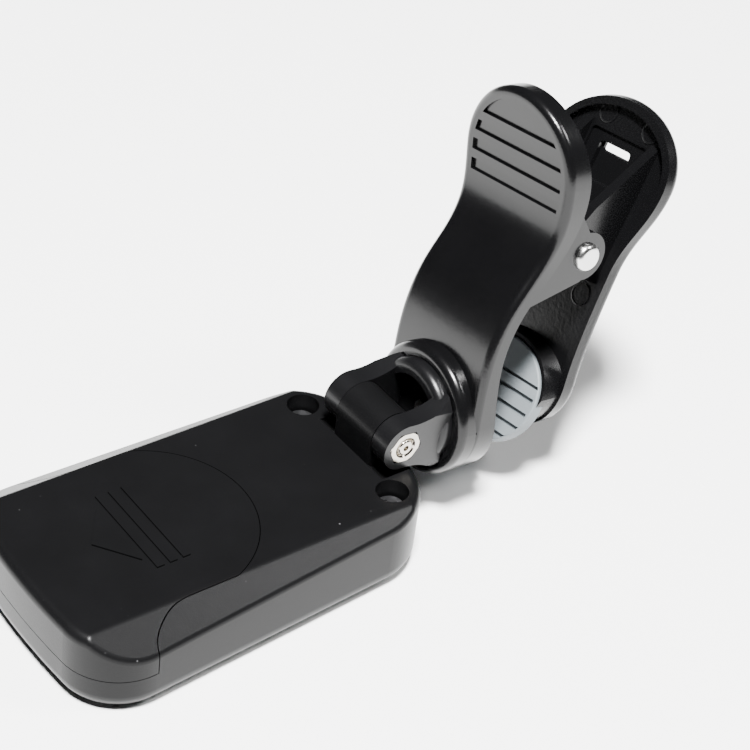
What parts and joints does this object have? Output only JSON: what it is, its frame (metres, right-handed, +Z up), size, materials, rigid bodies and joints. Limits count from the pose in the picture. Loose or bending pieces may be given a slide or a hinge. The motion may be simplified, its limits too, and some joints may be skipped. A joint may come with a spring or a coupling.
{
  "type": "clip-on tuner",
  "caption": "Flat clip-on instrument tuner: black body with a sliding battery cover, a tilting and swivelling yoke, and a sprung two-jaw clip with grey rubber pads.",
  "frame": {"origin": "middle of the whole part's box, on the plane of the front face that the tuner lies on", "axes": "+Z up, out of the back face; +Y along the body towards the hinge and the clip; +X across the body, towards the hinge nut"},
  "size_m": [0.0304, 0.0836, 0.0478],
  "materials": {
    "case_black": "satin moulded plastic with a fine grain",
    "clip_black": "satin moulded plastic with a fine grain",
    "yoke_black": "satin nylon",
    "button_rubber": "soft grey rubber",
    "pad_rubber": "cool grey rubber",
    "lens": "dark tinted acrylic",
    "lcd": "dark display glass",
    "elastomer": "zebra strip",
    "board": "green solder mask",
    "chip": "epoxy",
    "cell": "brushed nickel-plated can",
    "contact": "plated spring steel",
    "brass": "satin",
    "ceramic": "silvered ceramic",
    "steel": "zinc plated",
    "nickel": "bright nickel plate",
    "spring_steel": "oiled spring wire"
  },
  "bodies": {
    "tuner_body": {"front_case": "case_black", "rear_case": "case_black", "case_screws": "steel", "display_lens": "lens", "lcd_module": "lcd", "lcd_connectors": "elastomer", "circuit_board": "board", "board_chips": "chip", "power_switch": "chip", "coin_cell": "cell", "contact_negative": "contact", "contact_positive": "contact", "piezo_disc": "brass", "piezo_ceramic": "ceramic"},
    "cover": {"battery_cover": "case_black"},
    "button": {"power_button": "button_rubber"},
    "yoke": {"swivel_yoke": "yoke_black", "hinge_screw": "nickel", "hinge_nut": "nickel", "swivel_screw": "steel", "swivel_washer": "steel"},
    "clip_front": {"front_jaw": "clip_black", "front_pad": "pad_rubber", "pivot_pin": "nickel", "torsion_spring": "spring_steel"},
    "clip_rear": {"rear_jaw": "clip_black", "rear_pad": "pad_rubber"}
  },
  "joints": [
    {"name": "tilt", "type": "hinge", "parent": "tuner_body", "child": "yoke", "pos_m": [0.0005, 0.00347, 0.01277], "axis": [1, 0, 0], "range_deg": [-5, 95]},
    {"name": "swivel", "type": "hinge", "parent": "yoke", "child": "clip_front", "pos_m": [0.0005, 0.0114, 0.01168], "axis": [0, -0.9907, 0.1357], "continuous": true},
    {"name": "jaw_open", "type": "hinge", "parent": "clip_front", "child": "clip_rear", "pos_m": [-0.00234, 0.02691, 0.0295], "axis": [0.9899, 0.0193, 0.1408], "range_deg": [0, 28], "stiffness_Nm_per_rad": 0.02, "springref_deg": -34.38, "deforming": ["torsion_spring"]},
    {"name": "battery_cover_slide", "type": "slide", "parent": "tuner_body", "child": "cover", "axis": [0, -1, 0], "range_m": [0, 0.012]},
    {"name": "power_button_press", "type": "slide", "parent": "tuner_body", "child": "button", "axis": [0, 0, 1], "range_m": [0, 0.0004], "stiffness_N_per_m": 600, "springref_m": -0.0005}
  ]
}
